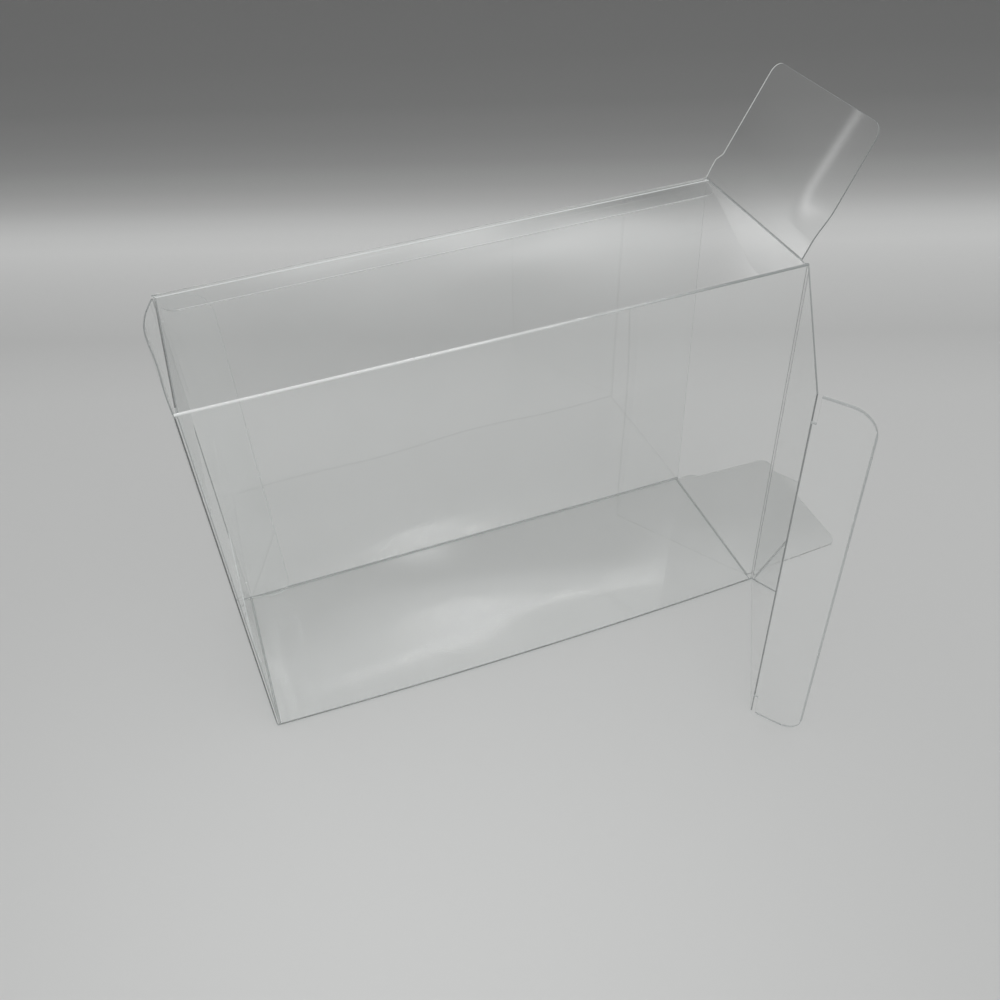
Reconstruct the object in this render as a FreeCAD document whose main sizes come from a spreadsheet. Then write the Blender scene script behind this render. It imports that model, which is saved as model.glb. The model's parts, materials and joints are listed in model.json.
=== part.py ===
"""Clear film carton that guards a console's retail box: a four-panel sleeve with tuck-in ends.

The right end stands open, the left end is tucked shut. Millimetres, +Z up. The origin is the centre of the
bottom panel's outer face, +X runs along the carton to its open end and -Y faces the front panel.
"""
import FreeCAD
import Part
import Sketcher
import math
import os

# Driving dimensions: name, value in millimetres or degrees, meaning
SIZES = (
    ("box_length", 192.0, "front panel between the creases of the two closure flaps"),
    ("box_depth", 66.0, "outside, front to back"),
    ("box_height", 142.0, "outside, bottom to top"),
    ("film_thickness", 0.4, "clear sheet"),
    ("fold_radius", 0.6, "outside of the four long folds"),
    ("seam_setback", 3.0, "free edge of the top panel, in from the back fold"),
    ("glue_tab_width", 13.0, "tab glued under the top panel"),
    ("glue_tab_end_gap", 1.5, "tab's root, short of the sleeve's ends"),
    ("glue_tab_taper", 1.2, "how far each end of the tab slants in"),
    ("flap_clearance", 0.3, "between a folded-in flap and what it nests beside"),
    ("closure_crease_gap", 0.4, "between a closure flap's crease roll and the front panel"),
    ("dust_crease_gap", 0.3, "between a dust flap's crease roll and its panel"),
    ("tongue_crease_gap", 0.3, "between a tongue's crease roll and its closure flap"),
    ("left_closure_bow", 4.0, "outward bulge of the tucked left flap"),
    ("tongue_length", 17.5, "tuck tongue beyond its crease"),
    ("tongue_corner_radius", 8.0, "outer corners of a tongue"),
    ("lock_slit_width", 1.4, "slit at each end of a tongue's crease"),
    ("tongue_slide_room", 1.2, "extra room beside a dust flap for the tongue sliding out"),
    ("dust_flap_length", 43.0, "dust flap beyond its crease"),
    ("dust_front_inset", 3.2, "hinge-side edge of a dust flap, at its crease"),
    ("dust_front_taper", 2.2, "how far that edge slants in by its end"),
    ("dust_flare_length", 3.6, "from the crease to where the locking shoulder is full width"),
    ("dust_shoulder_length", 6.8, "from the crease to the end of the locking shoulder"),
    ("dust_step_length", 9.6, "from the crease to the foot of the shoulder"),
    ("dust_back_taper", 1.2, "how far the tuck-side edge slants in by its end"),
    ("dust_corner_radius", 4.0, "outer corners of a dust flap"),
    ("right_closure_open", 210.0, "right closure flap, turned open from shut"),
    ("right_tongue_fold", 66.0, "right tongue, folded in from its flap"),
    ("left_tongue_fold", 102.0, "left tongue, folded in from its flap"),
    ("top_dust_lift", 61.4, "right top dust flap, above level"),
)

# Places worked out from the driving dimensions
FILM = "Size.film_thickness"
HALF_FILM = "Size.film_thickness / 2"
HALF_LENGTH = "Size.box_length / 2"
HALF_DEPTH = "Size.box_depth / 2"
HEIGHT = "Size.box_height"
HINGE_Y = f"-{HALF_DEPTH} + {HALF_FILM}"
DUST_CREASE_X = f"({HALF_LENGTH} - {FILM} - Size.flap_clearance)"
CLOSURE_CHORD = f"(Size.box_depth - 2 * {FILM} - Size.flap_clearance)"
CLOSURE_MARGIN = f"(max(Size.fold_radius; 2 * {FILM}) + Size.flap_clearance)"
TAB_ROOT_Y = f"({HALF_DEPTH} - 2 * Size.fold_radius)"
SHUT_HEADING = 90.0
RIGHT_HEADING = f"({SHUT_HEADING} - Size.right_closure_open)"

# Edges of a dust flap across its crease line, from the panel's middle
DUST_FRONT_Y = f"(-{HALF_DEPTH} + Size.dust_front_inset)"
DUST_FRONT_END_Y = f"({DUST_FRONT_Y} + Size.dust_front_taper)"
DUST_ROOT_Y = f"({HALF_DEPTH} - Size.fold_radius - Size.flap_clearance)"
DUST_SHOULDER_Y = f"({HALF_DEPTH} - {FILM} - Size.flap_clearance)"
DUST_STEP_Y = f"({HALF_DEPTH} - 2 * {FILM} - 2 * Size.flap_clearance - Size.tongue_slide_room)"
DUST_BACK_END_Y = f"({DUST_STEP_Y} - Size.dust_back_taper)"

# Tuck-side root of a dust flap, from the crease outwards: with a locking shoulder, or pressed flat by the tongue
SHOULDERED_ROOT = (
    ("Size.dust_step_length", DUST_STEP_Y),
    ("Size.dust_shoulder_length", DUST_SHOULDER_Y),
    ("Size.dust_flare_length", DUST_SHOULDER_Y),
    ("0", DUST_ROOT_Y),
)
PRESSED_ROOT = (("0", DUST_STEP_Y),)

# Cutters reach this far past what they cut
OVERCUT = 2.0
SAME_PLACE = 1e-4


def make_sheet(doc):
    """Put the driving dimensions in a sheet, one named cell each."""
    sheet = doc.addObject("Spreadsheet::Sheet", "Size")
    for row, (name, value, meaning) in enumerate(SIZES, start=1):
        sheet.set(f"A{row}", name)
        sheet.set(f"B{row}", str(value))
        sheet.set(f"C{row}", meaning)
        sheet.setAlias(f"B{row}", name)
    doc.recompute()


def value_of(doc, formula):
    """Work a formula out from the sheet's cells, as a plain number."""
    result = doc.getObject("Size").evalExpression(str(formula))
    return float(getattr(result, "Value", result))


def make_body(doc, name):
    """Start one sub-part."""
    body = doc.addObject("PartDesign::Body", name)
    body.Label = name
    return body


def make_sketch(body, role, name, offset="0"):
    """Start a sketch on one of the body's own planes, moved along the plane's normal."""
    sketch = body.newObject("Sketcher::SketchObject", name)
    plane = [item for item in body.Origin.OriginFeatures if item.Role == role][0]
    sketch.AttachmentSupport = [(plane, "")]
    sketch.MapMode = "FlatFace"
    sketch.setExpression("AttachmentOffset.Base.z", offset)
    body.Document.recompute()
    return sketch


def tie_point(sketch, edge, end, x_formula, y_formula):
    """Dimension one end of a sketch edge from the sketch's origin."""
    for kind, formula in (("DistanceX", x_formula), ("DistanceY", y_formula)):
        place = value_of(sketch.Document, formula)
        row = sketch.addConstraint(Sketcher.Constraint(kind, -1, 1, edge, end, place))
        name = f"{kind}_{edge}_{end}"
        sketch.renameConstraint(row, name)
        sketch.setExpression(f"Constraints.{name}", str(formula))


def draw_polygon(sketch, corners):
    """Draw a closed outline whose corners are pairs of formulas."""
    doc = sketch.Document
    points = [FreeCAD.Vector(value_of(doc, x), value_of(doc, y), 0) for x, y in corners]
    first = sketch.GeometryCount
    last = first + len(corners) - 1
    for start, finish in zip(points, points[1:] + points[:1]):
        sketch.addGeometry(Part.LineSegment(start, finish), False)
    for edge, (x_formula, y_formula) in enumerate(corners, start=first):
        following = edge + 1 if edge < last else first
        sketch.addConstraint(Sketcher.Constraint("Coincident", edge, 2, following, 1))
        tie_point(sketch, edge, 1, x_formula, y_formula)


def draw_box(sketch, low_x, low_y, high_x, high_y):
    """Draw a rectangle between two corners."""
    draw_polygon(sketch, ((low_x, low_y), (high_x, low_y), (high_x, high_y), (low_x, high_y)))


def draw_arc(sketch, centre, radius, start_angle, finish_angle):
    """Draw an arc anticlockwise about a centre, between angles in radians, and return its edge number."""
    circle = Part.Circle(centre, FreeCAD.Vector(0, 0, 1), radius)
    return sketch.addGeometry(Part.ArcOfCircle(circle, start_angle, finish_angle), False)


def draw_crease_roll(sketch, tilt, upper_end, lower_end):
    """Close a sheet's section with a half circle about the origin, between its two faces."""
    half = value_of(sketch.Document, HALF_FILM)
    upper_angle = math.pi / 2 + math.radians(tilt)
    edge = draw_arc(sketch, FreeCAD.Vector(0, 0, 0), half, upper_angle, upper_angle + math.pi)
    sketch.addConstraint(Sketcher.Constraint("Coincident", edge, 1, *upper_end))
    sketch.addConstraint(Sketcher.Constraint("Coincident", edge, 2, *lower_end))
    sketch.addConstraint(Sketcher.Constraint("PointOnObject", edge, 3, -2))


def draw_flat_strip(sketch, length):
    """Draw a flat sheet's section, with a half-round crease roll about the origin."""
    doc = sketch.Document
    half = value_of(doc, HALF_FILM)
    reach = value_of(doc, length)
    corners = [FreeCAD.Vector(x, y, 0) for x, y in ((0, half), (reach, half), (reach, -half), (0, -half))]
    for start, finish in zip(corners, corners[1:]):
        sketch.addGeometry(Part.LineSegment(start, finish), False)
    sketch.addConstraint(Sketcher.Constraint("Coincident", 0, 2, 1, 1))
    sketch.addConstraint(Sketcher.Constraint("Coincident", 1, 2, 2, 1))
    tie_point(sketch, 0, 1, "0", HALF_FILM)
    tie_point(sketch, 0, 2, length, HALF_FILM)
    tie_point(sketch, 2, 1, length, f"-{HALF_FILM}")
    tie_point(sketch, 2, 2, "0", f"-{HALF_FILM}")
    draw_crease_roll(sketch, 0, (0, 1), (2, 2))


def draw_bowed_strip(sketch, chord, bow, end_gap):
    """Draw a bulging sheet's section along an arc, with a half-round crease roll about the origin."""
    doc = sketch.Document
    radius = f"((({chord})^2 / 4 + ({bow})^2) / (2 * {bow}))"
    near_sweep = f"asin({chord} / (2 * {radius}))"
    far_sweep = f"asin(({chord} / 2 - {end_gap}) / {radius})"
    centre = FreeCAD.Vector(value_of(doc, f"{chord} / 2"), value_of(doc, f"{bow} - {radius}"), 0)
    near_angle = math.pi / 2 + math.radians(value_of(doc, near_sweep))
    far_angle = math.pi / 2 - math.radians(value_of(doc, far_sweep))
    far_points = []
    for side in ("+", "-"):
        face = f"({radius} {side} {HALF_FILM})"
        edge = draw_arc(sketch, centre, value_of(doc, face), far_angle, near_angle)
        far = (f"{chord} / 2 + {face} * sin({far_sweep})", f"{bow} - {radius} + {face} * cos({far_sweep})")
        near = (f"{chord} / 2 - {face} * sin({near_sweep})", f"{bow} - {radius} + {face} * cos({near_sweep})")
        tie_point(sketch, edge, 1, *far)
        tie_point(sketch, edge, 2, *near)
        row = sketch.addConstraint(Sketcher.Constraint("Radius", edge, value_of(doc, face)))
        sketch.renameConstraint(row, f"face_radius_{edge}")
        sketch.setExpression(f"Constraints.face_radius_{edge}", face)
        far_points.append(FreeCAD.Vector(value_of(doc, far[0]), value_of(doc, far[1]), 0))
    end = sketch.addGeometry(Part.LineSegment(*far_points), False)
    sketch.addConstraint(Sketcher.Constraint("Coincident", end, 1, 0, 1))
    sketch.addConstraint(Sketcher.Constraint("Coincident", end, 2, 1, 1))
    draw_crease_roll(sketch, value_of(doc, near_sweep), (0, 2), (1, 2))


def pad(body, sketch, name, length, symmetric=False):
    """Thicken a sketch into the body."""
    feature = body.newObject("PartDesign::Pad", name)
    feature.Profile = sketch
    feature.SideType = "Symmetric" if symmetric else "One side"
    feature.setExpression("Length", str(length))
    body.Document.recompute()


def pocket(body, sketch, name, length, symmetric=False):
    """Cut a sketch out of the body, and make sure that it cuts something."""
    before = body.Shape.Volume
    feature = body.newObject("PartDesign::Pocket", name)
    feature.Profile = sketch
    feature.SideType = "Symmetric" if symmetric else "One side"
    feature.setExpression("Length", str(length))
    body.Document.recompute()
    if not body.Shape.Volume < before - SAME_PLACE:
        raise RuntimeError(f"{name} cuts nothing")


def round_edges(body, name, radius, wanted):
    """Round the body's edges that a test picks out."""
    base = body.Tip
    names = [f"Edge{n}" for n, edge in enumerate(base.Shape.Edges, start=1) if wanted(edge)]
    if not names:
        raise RuntimeError(f"{name} finds no edge")
    feature = body.newObject("PartDesign::Fillet", name)
    feature.Base = (base, names)
    feature.setExpression("Radius", str(radius))
    body.Document.recompute()


def edge_at(edge, direction, **place):
    """Say whether a straight edge runs along a direction through the given coordinates."""
    start, finish = edge.Vertexes[0].Point, edge.Vertexes[-1].Point
    run = finish - start
    if run.Length < SAME_PLACE or run.cross(direction).Length > SAME_PLACE * run.Length:
        return False
    middle = (start + finish) / 2
    return all(abs(getattr(middle, axis) - spot) < SAME_PLACE for axis, spot in place.items())


def set_down(body, base, axis, angle):
    """Place a sub-part by formulas: a point, and a turn about an axis through it."""
    doc = body.Document
    spot = FreeCAD.Vector(*(value_of(doc, formula) for formula in base))
    body.Placement = FreeCAD.Placement(spot, FreeCAD.Rotation(axis, value_of(doc, angle)))
    for letter, formula in zip("xyz", base):
        body.setExpression(f"Placement.Base.{letter}", str(formula))
    body.setExpression("Placement.Rotation.Angle", str(angle))
    doc.recompute()


def dust_outline(crease, out, root):
    """List a dust flap's corners, distance from its crease by place along it, ending with its tuck-side root."""
    tip = (
        ("0", DUST_FRONT_Y),
        ("Size.dust_flap_length", DUST_FRONT_END_Y),
        ("Size.dust_flap_length", DUST_BACK_END_Y),
    )
    return [(f"{crease} {out} {reach}", across) for reach, across in tip + root]


def make_sleeve(doc):
    """Fold the sleeve: four panels, the glue tab and the two dust flaps shut inside the left end."""
    body = make_body(doc, "sleeve")
    section = make_sketch(body, "YZ_Plane", "sleeve_section")
    inner_y = f"{HALF_DEPTH} - {FILM}"
    seam_y = f"{HALF_DEPTH} - Size.seam_setback"
    under_top = f"{HEIGHT} - {FILM}"
    under_tab = f"{HEIGHT} - 2 * {FILM}"
    draw_polygon(section, (
        (seam_y, HEIGHT), (f"-{HALF_DEPTH}", HEIGHT), (f"-{HALF_DEPTH}", "0"), (HALF_DEPTH, "0"),
        (HALF_DEPTH, under_top), (TAB_ROOT_Y, under_top), (TAB_ROOT_Y, under_tab), (inner_y, under_tab),
        (inner_y, FILM), (f"-({inner_y})", FILM), (f"-({inner_y})", under_top), (seam_y, under_top),
    ))
    pad(body, section, "folded_panels", "Size.box_length", symmetric=True)
    fold_panels(body)
    add_glue_tab(body, under_tab)
    cut_panel_ends(body)
    add_left_dust_flaps(body)
    return body


def fold_panels(body):
    """Round the four long folds, outside and inside."""
    doc = body.Document
    along = FreeCAD.Vector(1, 0, 0)
    film = value_of(doc, FILM)
    half = value_of(doc, HALF_DEPTH)
    height = value_of(doc, HEIGHT)
    corners = ((-half, height, 1, -1), (-half, 0, 1, 1), (half, 0, -1, 1), (half, height - film, -1, -1))
    outer = [(y, z) for y, z, _, _ in corners]
    inner = [(y + side * film, z + up * film) for y, z, side, up in corners]
    for name, radius, spots in (
        ("outer_folds", "Size.fold_radius", outer),
        ("inner_folds", f"Size.fold_radius - {FILM}", inner),
    ):
        round_edges(body, name, radius, lambda edge: any(edge_at(edge, along, y=y, z=z) for y, z in spots))


def add_glue_tab(body, under_tab):
    """Add the glued tab under the top panel, with slanting ends."""
    sketch = make_sketch(body, "XY_Plane", "glue_tab_outline", under_tab)
    root_x = f"({HALF_LENGTH} - Size.glue_tab_end_gap)"
    edge_x = f"({root_x} - Size.glue_tab_taper)"
    edge_y = f"{HALF_DEPTH} - Size.glue_tab_width"
    draw_polygon(sketch, (
        (f"-{root_x}", TAB_ROOT_Y), (f"-{edge_x}", edge_y), (edge_x, edge_y), (root_x, TAB_ROOT_Y),
    ))
    pad(body, sketch, "glue_tab", FILM)


def cut_panel_ends(body):
    """Trim the panels back to the creases of the flaps at both ends."""
    flat_y = f"({HALF_DEPTH} - Size.fold_radius)"
    beyond = f"({HALF_LENGTH} + {OVERCUT})"
    dust_edge = f"({DUST_CREASE_X} - {HALF_FILM} - Size.dust_crease_gap)"
    bend_edge = f"({DUST_CREASE_X} + {HALF_FILM})"
    plan = make_sketch(body, "XY_Plane", "dust_crease_cuts")
    draw_box(plan, dust_edge, f"-{flat_y}", beyond, flat_y)
    draw_box(plan, f"-{beyond}", f"-{flat_y}", f"-{bend_edge}", flat_y)
    pocket(body, plan, "top_and_bottom_ends", f"2 * {HEIGHT} + {OVERCUT}", symmetric=True)
    closure_edge = f"({HALF_LENGTH} - {HALF_FILM} - Size.closure_crease_gap)"
    low_z = "Size.fold_radius"
    high_z = f"{HEIGHT} - Size.fold_radius"
    face = make_sketch(body, "XZ_Plane", "closure_crease_cuts", f"{HALF_DEPTH} - {FILM}")
    draw_box(face, closure_edge, low_z, beyond, high_z)
    draw_box(face, f"-{beyond}", low_z, f"-{closure_edge}", high_z)
    pocket(body, face, "front_ends", f"2 * ({FILM} + Size.fold_radius)", symmetric=True)


def add_left_dust_flaps(body):
    """Add the dust flaps folded in behind the left closure flap."""
    doc = body.Document
    sketch = make_sketch(body, "YZ_Plane", "left_dust_outlines", f"-({DUST_CREASE_X} + {HALF_FILM})")
    for crease, out in ((HALF_FILM, "+"), (f"{HEIGHT} - {HALF_FILM}", "-")):
        corners = dust_outline(crease, out, PRESSED_ROOT)
        draw_polygon(sketch, [(across, reach) for reach, across in corners])
    pad(body, sketch, "left_dust_flaps", FILM)
    through = FreeCAD.Vector(1, 0, 0)
    reach = value_of(doc, f"{HALF_FILM} + Size.dust_flap_length")
    levels = (reach, value_of(doc, HEIGHT) - reach)
    sides = (value_of(doc, DUST_FRONT_END_Y), value_of(doc, DUST_BACK_END_Y))
    round_edges(body, "left_dust_corners", "Size.dust_corner_radius", lambda edge: any(
        edge_at(edge, through, y=y, z=z) for y in sides for z in levels))


def make_dust_flap(doc, name, crease_z, lift):
    """Cut one hinged dust flap of the right end, flat from its crease."""
    body = make_body(doc, name)
    section = make_sketch(body, "XZ_Plane", f"{name}_section")
    draw_flat_strip(section, "Size.dust_flap_length")
    pad(body, section, f"{name}_strip", "Size.box_depth", symmetric=True)
    cut = make_sketch(body, "XY_Plane", f"{name}_outline")
    beyond = f"(Size.box_depth / 2 + {OVERCUT})"
    draw_box(cut, f"-{OVERCUT}", f"-{beyond}", f"Size.dust_flap_length + {OVERCUT}", beyond)
    corners = dust_outline("0", "+", SHOULDERED_ROOT)
    corners[0] = (f"-{FILM}", DUST_FRONT_Y)
    corners[-1] = (f"-{FILM}", DUST_ROOT_Y)
    draw_polygon(cut, corners)
    pocket(body, cut, f"{name}_die_cut", f"2 * {FILM} + {OVERCUT}", symmetric=True)
    reach = value_of(doc, "Size.dust_flap_length")
    sides = (value_of(doc, DUST_FRONT_END_Y), value_of(doc, DUST_BACK_END_Y))
    through = FreeCAD.Vector(0, 0, 1)
    round_edges(body, f"{name}_corners", "Size.dust_corner_radius", lambda edge: any(
        edge_at(edge, through, x=reach, y=y) for y in sides))
    set_down(body, (DUST_CREASE_X, "0", crease_z), FreeCAD.Vector(0, -1, 0), lift)
    return body


def make_right_closure(doc):
    """Cut the flat closure flap that stands open at the right end."""
    body = make_body(doc, "right_closure_flap")
    section = make_sketch(body, "XY_Plane", "right_closure_section", CLOSURE_MARGIN)
    draw_flat_strip(section, f"{CLOSURE_CHORD} - {HALF_FILM} - Size.tongue_crease_gap")
    pad(body, section, "right_closure_sheet", f"{HEIGHT} - 2 * {CLOSURE_MARGIN}")
    set_down(body, (HALF_LENGTH, HINGE_Y, "0"), FreeCAD.Vector(0, 0, 1), RIGHT_HEADING)
    return body


def make_left_closure(doc):
    """Cut the closure flap that bulges over the left end."""
    body = make_body(doc, "left_closure_flap")
    section = make_sketch(body, "XY_Plane", "left_closure_section", CLOSURE_MARGIN)
    end_gap = f"({HALF_FILM} + Size.tongue_crease_gap)"
    draw_bowed_strip(section, CLOSURE_CHORD, "Size.left_closure_bow", end_gap)
    pad(body, section, "left_closure_sheet", f"{HEIGHT} - 2 * {CLOSURE_MARGIN}")
    set_down(body, (f"-{HALF_LENGTH}", HINGE_Y, "0"), FreeCAD.Vector(0, 0, 1), str(SHUT_HEADING))
    return body


def make_tongue(doc, name, crease, heading):
    """Cut one tuck tongue, with round corners and a lock slit at each end of its crease."""
    body = make_body(doc, name)
    section = make_sketch(body, "XY_Plane", f"{name}_section", CLOSURE_MARGIN)
    draw_flat_strip(section, "Size.tongue_length")
    pad(body, section, f"{name}_sheet", f"{HEIGHT} - 2 * {CLOSURE_MARGIN}")
    slits = make_sketch(body, "XZ_Plane", f"{name}_slits")
    slit_end = f"({HALF_FILM} + Size.dust_step_length + Size.flap_clearance)"
    for low_z, high_z in ((f"-{OVERCUT}", slit_end), (f"{HEIGHT} - {slit_end}", f"{HEIGHT} + {OVERCUT}")):
        draw_box(slits, f"-{OVERCUT}", low_z, "Size.lock_slit_width", high_z)
    pocket(body, slits, f"{name}_lock_slits", f"2 * {FILM} + {OVERCUT}", symmetric=True)
    reach = value_of(doc, "Size.tongue_length")
    levels = (value_of(doc, CLOSURE_MARGIN), value_of(doc, f"{HEIGHT} - {CLOSURE_MARGIN}"))
    through = FreeCAD.Vector(0, 1, 0)
    round_edges(body, f"{name}_corners", "Size.tongue_corner_radius", lambda edge: any(
        edge_at(edge, through, x=reach, z=z) for z in levels))
    set_down(body, crease, FreeCAD.Vector(0, 0, 1), heading)
    return body


def check_document(doc, bodies):
    """Stop if any feature failed or a sub-part is not one sound solid."""
    broken = [item.Name for item in doc.Objects if {"Invalid", "Error"} & set(item.State)]
    if broken:
        raise RuntimeError(f"failed features: {broken}")
    for body in bodies:
        shape = body.Shape
        if shape.isNull() or not shape.isValid() or len(shape.Solids) != 1:
            raise RuntimeError(f"{body.Label} is not one sound solid")


def write_parts(bodies):
    """Write each sub-part to its own file."""
    os.makedirs("parts", exist_ok=True)
    for body in bodies:
        body.Shape.exportStep(os.path.join("parts", f"{body.Label}.step"))
        print(f"{body.Label}: {body.Shape.Volume:.1f} cubic mm")


def main():
    """Build the carton and write its sub-parts."""
    doc = FreeCAD.newDocument("console_box_protector")
    make_sheet(doc)
    right_crease = (
        f"{HALF_LENGTH} + {CLOSURE_CHORD} * cos({RIGHT_HEADING})",
        f"{HINGE_Y} + {CLOSURE_CHORD} * sin({RIGHT_HEADING})",
        "0",
    )
    left_crease = (f"-{HALF_LENGTH}", f"{HINGE_Y} + {CLOSURE_CHORD}", "0")
    bodies = [
        make_sleeve(doc),
        make_right_closure(doc),
        make_tongue(doc, "right_tuck_tongue", right_crease, f"{RIGHT_HEADING} + Size.right_tongue_fold"),
        make_dust_flap(doc, "right_top_dust_flap", f"{HEIGHT} - {HALF_FILM}", "Size.top_dust_lift"),
        make_dust_flap(doc, "right_bottom_dust_flap", HALF_FILM, "0"),
        make_left_closure(doc),
        make_tongue(doc, "left_tuck_tongue", left_crease, f"{SHUT_HEADING} - Size.left_tongue_fold"),
    ]
    doc.recompute()
    check_document(doc, bodies)
    write_parts(bodies)


main()
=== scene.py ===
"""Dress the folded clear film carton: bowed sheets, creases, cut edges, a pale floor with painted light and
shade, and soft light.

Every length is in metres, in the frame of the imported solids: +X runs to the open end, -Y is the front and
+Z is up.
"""
import json
import logging
import math
from dataclasses import dataclass, field
from enum import Enum, StrEnum
from typing import Callable

import bpy
import bmesh
import numpy as np
from mathutils import Matrix, Vector


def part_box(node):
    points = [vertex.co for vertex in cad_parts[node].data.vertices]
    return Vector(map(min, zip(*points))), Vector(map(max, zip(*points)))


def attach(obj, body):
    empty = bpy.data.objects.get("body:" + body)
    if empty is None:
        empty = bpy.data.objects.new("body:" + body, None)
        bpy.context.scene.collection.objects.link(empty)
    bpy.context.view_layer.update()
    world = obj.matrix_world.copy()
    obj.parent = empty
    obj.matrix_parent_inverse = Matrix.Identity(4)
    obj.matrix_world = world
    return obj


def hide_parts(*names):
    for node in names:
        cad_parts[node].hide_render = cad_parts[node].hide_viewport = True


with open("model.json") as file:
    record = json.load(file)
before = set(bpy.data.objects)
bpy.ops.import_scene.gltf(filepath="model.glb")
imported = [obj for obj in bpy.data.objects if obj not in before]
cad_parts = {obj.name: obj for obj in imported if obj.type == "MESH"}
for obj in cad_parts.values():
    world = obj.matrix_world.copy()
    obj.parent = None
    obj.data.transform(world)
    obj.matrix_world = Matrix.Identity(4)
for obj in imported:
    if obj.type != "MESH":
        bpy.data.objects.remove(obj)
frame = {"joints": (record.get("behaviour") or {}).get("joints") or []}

LOG = logging.getLogger("carton")
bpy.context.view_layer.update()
MM = 0.001
WELD = 1e-7
SHARP_EDGE = math.radians(40)
QUARTER_TURN = math.radians(90)
SHUT_HEADING = 90.0
RIGHT_OPEN = 210.0
RIGHT_TONGUE_FOLD = 66.0
LEFT_TONGUE_FOLD = 102.0
LEFT_BULGE = (-3.25 * MM, 1.17 * MM, -0.61 * MM)
Point = tuple[float, float]
Triple = tuple[float, float, float]
Colour = tuple[float, float, float, float]


class Skin(Enum):
    """The kinds of surface on a piece of film, by material slot."""

    FACE = 0
    # Crease: a pressed score line, painted dark grey as shade.
    CREASE = 1
    EDGE = 2
    # Painted highlight: folds and rims painted near white where light would catch them.
    PAINTED_HIGHLIGHT = 3
    # Painted glint: white at the left end, fading to dark grey towards the right.
    HALF_WHITENED = 4


class Panel(Enum):
    """Where a point of the sleeve's section lies: on a panel, on the glue tab or in a fold."""

    TOP = "top"
    FRONT = "front"
    BOTTOM = "bottom"
    BACK = "back"
    TAB = "tab"
    FOLD = "fold"


class Side(StrEnum):
    """The carton's two ends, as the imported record's names begin."""

    LEFT = "left"
    RIGHT = "right"


@dataclass(frozen=True)
class CartonSizes:
    """Sizes of the folded sheet, shared by all its pieces."""

    length: float
    depth: float
    height: float
    film: float = 0.4 * MM
    fold_radius: float = 0.6 * MM
    clearance: float = 0.3 * MM
    seam_setback: float = 3.0 * MM
    tab_width: float = 13.0 * MM
    tab_end_gap: float = 1.5 * MM
    tab_taper: float = 1.2 * MM
    tab_corner: float = 4.5 * MM
    closure_crease_gap: float = 0.4 * MM
    crease_touch: float = 0.06 * MM

    @classmethod
    def from_frame(cls) -> "CartonSizes":
        """Read the sleeve's length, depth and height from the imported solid."""
        low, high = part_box("sleeve")
        return cls(high.x - low.x, high.y - low.y, high.z - low.z)

    @property
    def half_film(self) -> float:
        """Half of the film's thickness."""
        return self.film / 2

    @property
    def flap_margin(self) -> float:
        """How far a closure flap stops short of the carton's bottom and top."""
        return max(self.fold_radius, 2 * self.film) + self.clearance

    @property
    def dust_crease(self) -> float:
        """Distance of a dust flap's crease from the carton's middle, along X."""
        return self.length / 2 - self.film - self.clearance


def joint_place(name: str) -> Vector:
    """Give a joint's place at rest.

    Args:
        name: the joint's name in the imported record.

    Returns:
        A point on the joint's axis.
    """
    return Vector(next(joint["pos_m"] for joint in frame["joints"] if joint["name"] == name))


def flat(reach: float, across: float) -> float:
    """Keep a flap flat, whatever the place on it."""
    return 0.0


def new_object(name: str, points: list[Vector], faces: list[tuple[int, ...]],
               skins: list[Skin]) -> bpy.types.Object:
    """Make one closed, smooth-shaded mesh object.

    Args:
        name: the piece's name.
        points: its vertices.
        faces: vertex numbers of each face.
        skins: the kind of surface of each face.

    Returns:
        The linked object.
    """
    mesh = bpy.data.meshes.new(name)
    mesh.from_pydata([tuple(p) for p in points], [], faces)
    for polygon, skin in zip(mesh.polygons, skins):
        polygon.material_index = skin.value
    work = bmesh.new()
    work.from_mesh(mesh)
    bmesh.ops.remove_doubles(work, verts=work.verts, dist=WELD)
    bmesh.ops.dissolve_degenerate(work, edges=work.edges, dist=WELD)
    bmesh.ops.recalc_face_normals(work, faces=work.faces)
    for face in work.faces:
        face.smooth = True
    for edge in work.edges:
        if len(edge.link_faces) == 2 and edge.calc_face_angle(0.0) > SHARP_EDGE:
            edge.smooth = False
    work.to_mesh(mesh)
    work.free()
    piece = bpy.data.objects.new(name, mesh)
    bpy.context.scene.collection.objects.link(piece)
    return piece


def maths(tree: bpy.types.NodeTree, kind: str, *values: bpy.types.NodeSocket | float) -> bpy.types.NodeSocket:
    """Add one Math node to a tree.

    Args:
        tree: the node tree to add to.
        kind: the Math node's operation.
        values: its inputs, sockets or plain numbers.

    Returns:
        The node's output.
    """
    node = tree.nodes.new("ShaderNodeMath")
    node.operation = kind
    for slot, value in zip(node.inputs, values):
        if isinstance(value, bpy.types.NodeSocket):
            tree.links.new(value, slot)
        else:
            slot.default_value = value
    return node.outputs[0]


def dot(tree: bpy.types.NodeTree, vector: bpy.types.NodeSocket,
        axis: Vector | Triple) -> bpy.types.NodeSocket:
    """Add a dot product to a tree.

    Args:
        tree: the node tree to add to.
        vector: a place or a direction.
        axis: what it is measured along.

    Returns:
        The vector's share along the axis.
    """
    node = tree.nodes.new("ShaderNodeVectorMath")
    node.operation = "DOT_PRODUCT"
    node.inputs[1].default_value = axis
    tree.links.new(vector, node.inputs[0])
    return node.outputs["Value"]


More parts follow.
